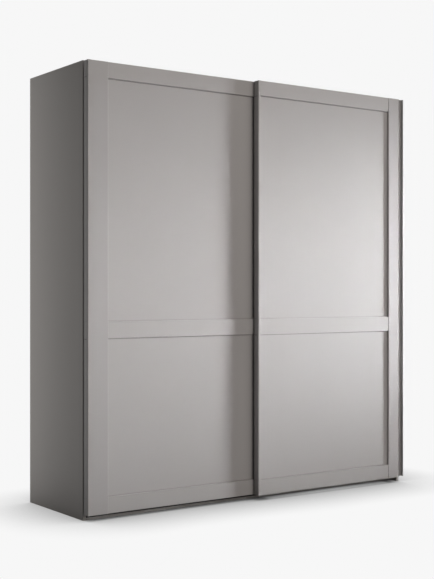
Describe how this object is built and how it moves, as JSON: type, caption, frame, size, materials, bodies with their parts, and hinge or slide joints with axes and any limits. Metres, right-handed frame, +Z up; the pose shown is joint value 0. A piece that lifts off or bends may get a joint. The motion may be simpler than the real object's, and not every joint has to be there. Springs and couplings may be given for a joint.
{
  "type": "sliding door wardrobe",
  "caption": "Free-standing wardrobe with two full-height sliding doors of applied flat strips, a recessed grip profile, shelves and clothes rails inside.",
  "frame": {"origin": "on the floor below the middle of the wardrobe's outer box, doors shut", "axes": "+X along the front from left to right, +Y from the front to the back, +Z up"},
  "size_m": [2, 0.66, 2.17],
  "materials": {
    "front_lacquer": "matt grey foil over board",
    "carcase_foil": "matt grey foil over board",
    "inner_foil": "pale linen-look foil over board",
    "back_board": "thin hardboard, foil inside",
    "grip_metal": "satin grey coated aluminium",
    "track_metal": "natural anodised extrusion",
    "hanger_steel": "zinc-plated",
    "rail_chrome": "polished",
    "roller_nylon": "natural nylon",
    "guide_nylon": "black nylon",
    "stop_rubber": "matt"
  },
  "bodies": {
    "carcase": {"bottom_guide_rail": "track_metal", "bottom_panel": "inner_foil", "centre_partition": "inner_foil", "front_plinth": "carcase_foil", "left_back_panel": "back_board", "left_clothes_rail": "rail_chrome", "left_rail_inner_cup": "rail_chrome", "left_rail_outer_cup": "rail_chrome", "left_shelf": "inner_foil", "left_shelf_inner_front_pin": "hanger_steel", "left_shelf_inner_rear_pin": "hanger_steel", "left_shelf_outer_front_pin": "hanger_steel", "left_shelf_outer_rear_pin": "hanger_steel", "left_side_panel": "carcase_foil", "left_track_stop": "stop_rubber", "rear_plinth": "inner_foil", "right_back_panel": "back_board", "right_clothes_rail": "rail_chrome", "right_filler_strip": "carcase_foil", "right_rail_inner_cup": "rail_chrome", "right_rail_outer_cup": "rail_chrome", "right_shelf": "inner_foil", "right_shelf_inner_front_pin": "hanger_steel", "right_shelf_inner_rear_pin": "hanger_steel", "right_shelf_outer_front_pin": "hanger_steel", "right_shelf_outer_rear_pin": "hanger_steel", "right_side_panel": "carcase_foil", "right_track_stop": "stop_rubber", "top_panel": "inner_foil", "top_track": "track_metal"},
    "rear_door": {"rear_door_bottom_rail": "front_lacquer", "rear_door_left_axle": "hanger_steel", "rear_door_left_guide": "guide_nylon", "rear_door_left_hanger": "hanger_steel", "rear_door_left_stile": "front_lacquer", "rear_door_meeting_strip": "front_lacquer", "rear_door_middle_rail": "front_lacquer", "rear_door_right_axle": "hanger_steel", "rear_door_right_guide": "guide_nylon", "rear_door_right_hanger": "hanger_steel", "rear_door_slab": "front_lacquer", "rear_door_top_rail": "front_lacquer"},
    "front_door": {"front_door_bottom_rail": "front_lacquer", "front_door_grip_profile": "grip_metal", "front_door_left_axle": "hanger_steel", "front_door_left_guide": "guide_nylon", "front_door_left_hanger": "hanger_steel", "front_door_meeting_strip": "front_lacquer", "front_door_middle_rail": "front_lacquer", "front_door_right_axle": "hanger_steel", "front_door_right_guide": "guide_nylon", "front_door_right_hanger": "hanger_steel", "front_door_right_stile": "front_lacquer", "front_door_slab": "front_lacquer", "front_door_top_rail": "front_lacquer"},
    "front_left_roller": {"front_door_left_roller": "roller_nylon"},
    "front_right_roller": {"front_door_right_roller": "roller_nylon"},
    "rear_left_roller": {"rear_door_left_roller": "roller_nylon"},
    "rear_right_roller": {"rear_door_right_roller": "roller_nylon"}
  },
  "joints": [
    {"name": "rear_door_slide", "type": "slide", "parent": "carcase", "child": "rear_door", "axis": [1, 0, 0], "range_m": [0, 0.95]},
    {"name": "front_door_slide", "type": "slide", "parent": "carcase", "child": "front_door", "axis": [-1, 0, 0], "range_m": [0, 0.97]},
    {"name": "front_left_roller_spin", "type": "hinge", "parent": "front_door", "child": "front_left_roller", "pos_m": [0.026, -0.203, 2.1243], "axis": [0, 1, 0], "range_deg": [-4650, 0]},
    {"name": "front_right_roller_spin", "type": "hinge", "parent": "front_door", "child": "front_right_roller", "pos_m": [0.944, -0.203, 2.1243], "axis": [0, 1, 0], "range_deg": [-4650, 0]},
    {"name": "rear_left_roller_spin", "type": "hinge", "parent": "rear_door", "child": "rear_left_roller", "pos_m": [-0.944, -0.231, 2.1243], "axis": [0, 1, 0], "range_deg": [0, 4560]},
    {"name": "rear_right_roller_spin", "type": "hinge", "parent": "rear_door", "child": "rear_right_roller", "pos_m": [-0.026, -0.231, 2.1243], "axis": [0, 1, 0], "range_deg": [0, 4560]}
  ],
  "couplings": [
    {"joint": "front_left_roller_spin", "follows": "front_door_slide", "rad_per_m": -83.333},
    {"joint": "front_right_roller_spin", "follows": "front_door_slide", "rad_per_m": -83.333},
    {"joint": "rear_left_roller_spin", "follows": "rear_door_slide", "rad_per_m": 83.333},
    {"joint": "rear_right_roller_spin", "follows": "rear_door_slide", "rad_per_m": 83.333}
  ]
}
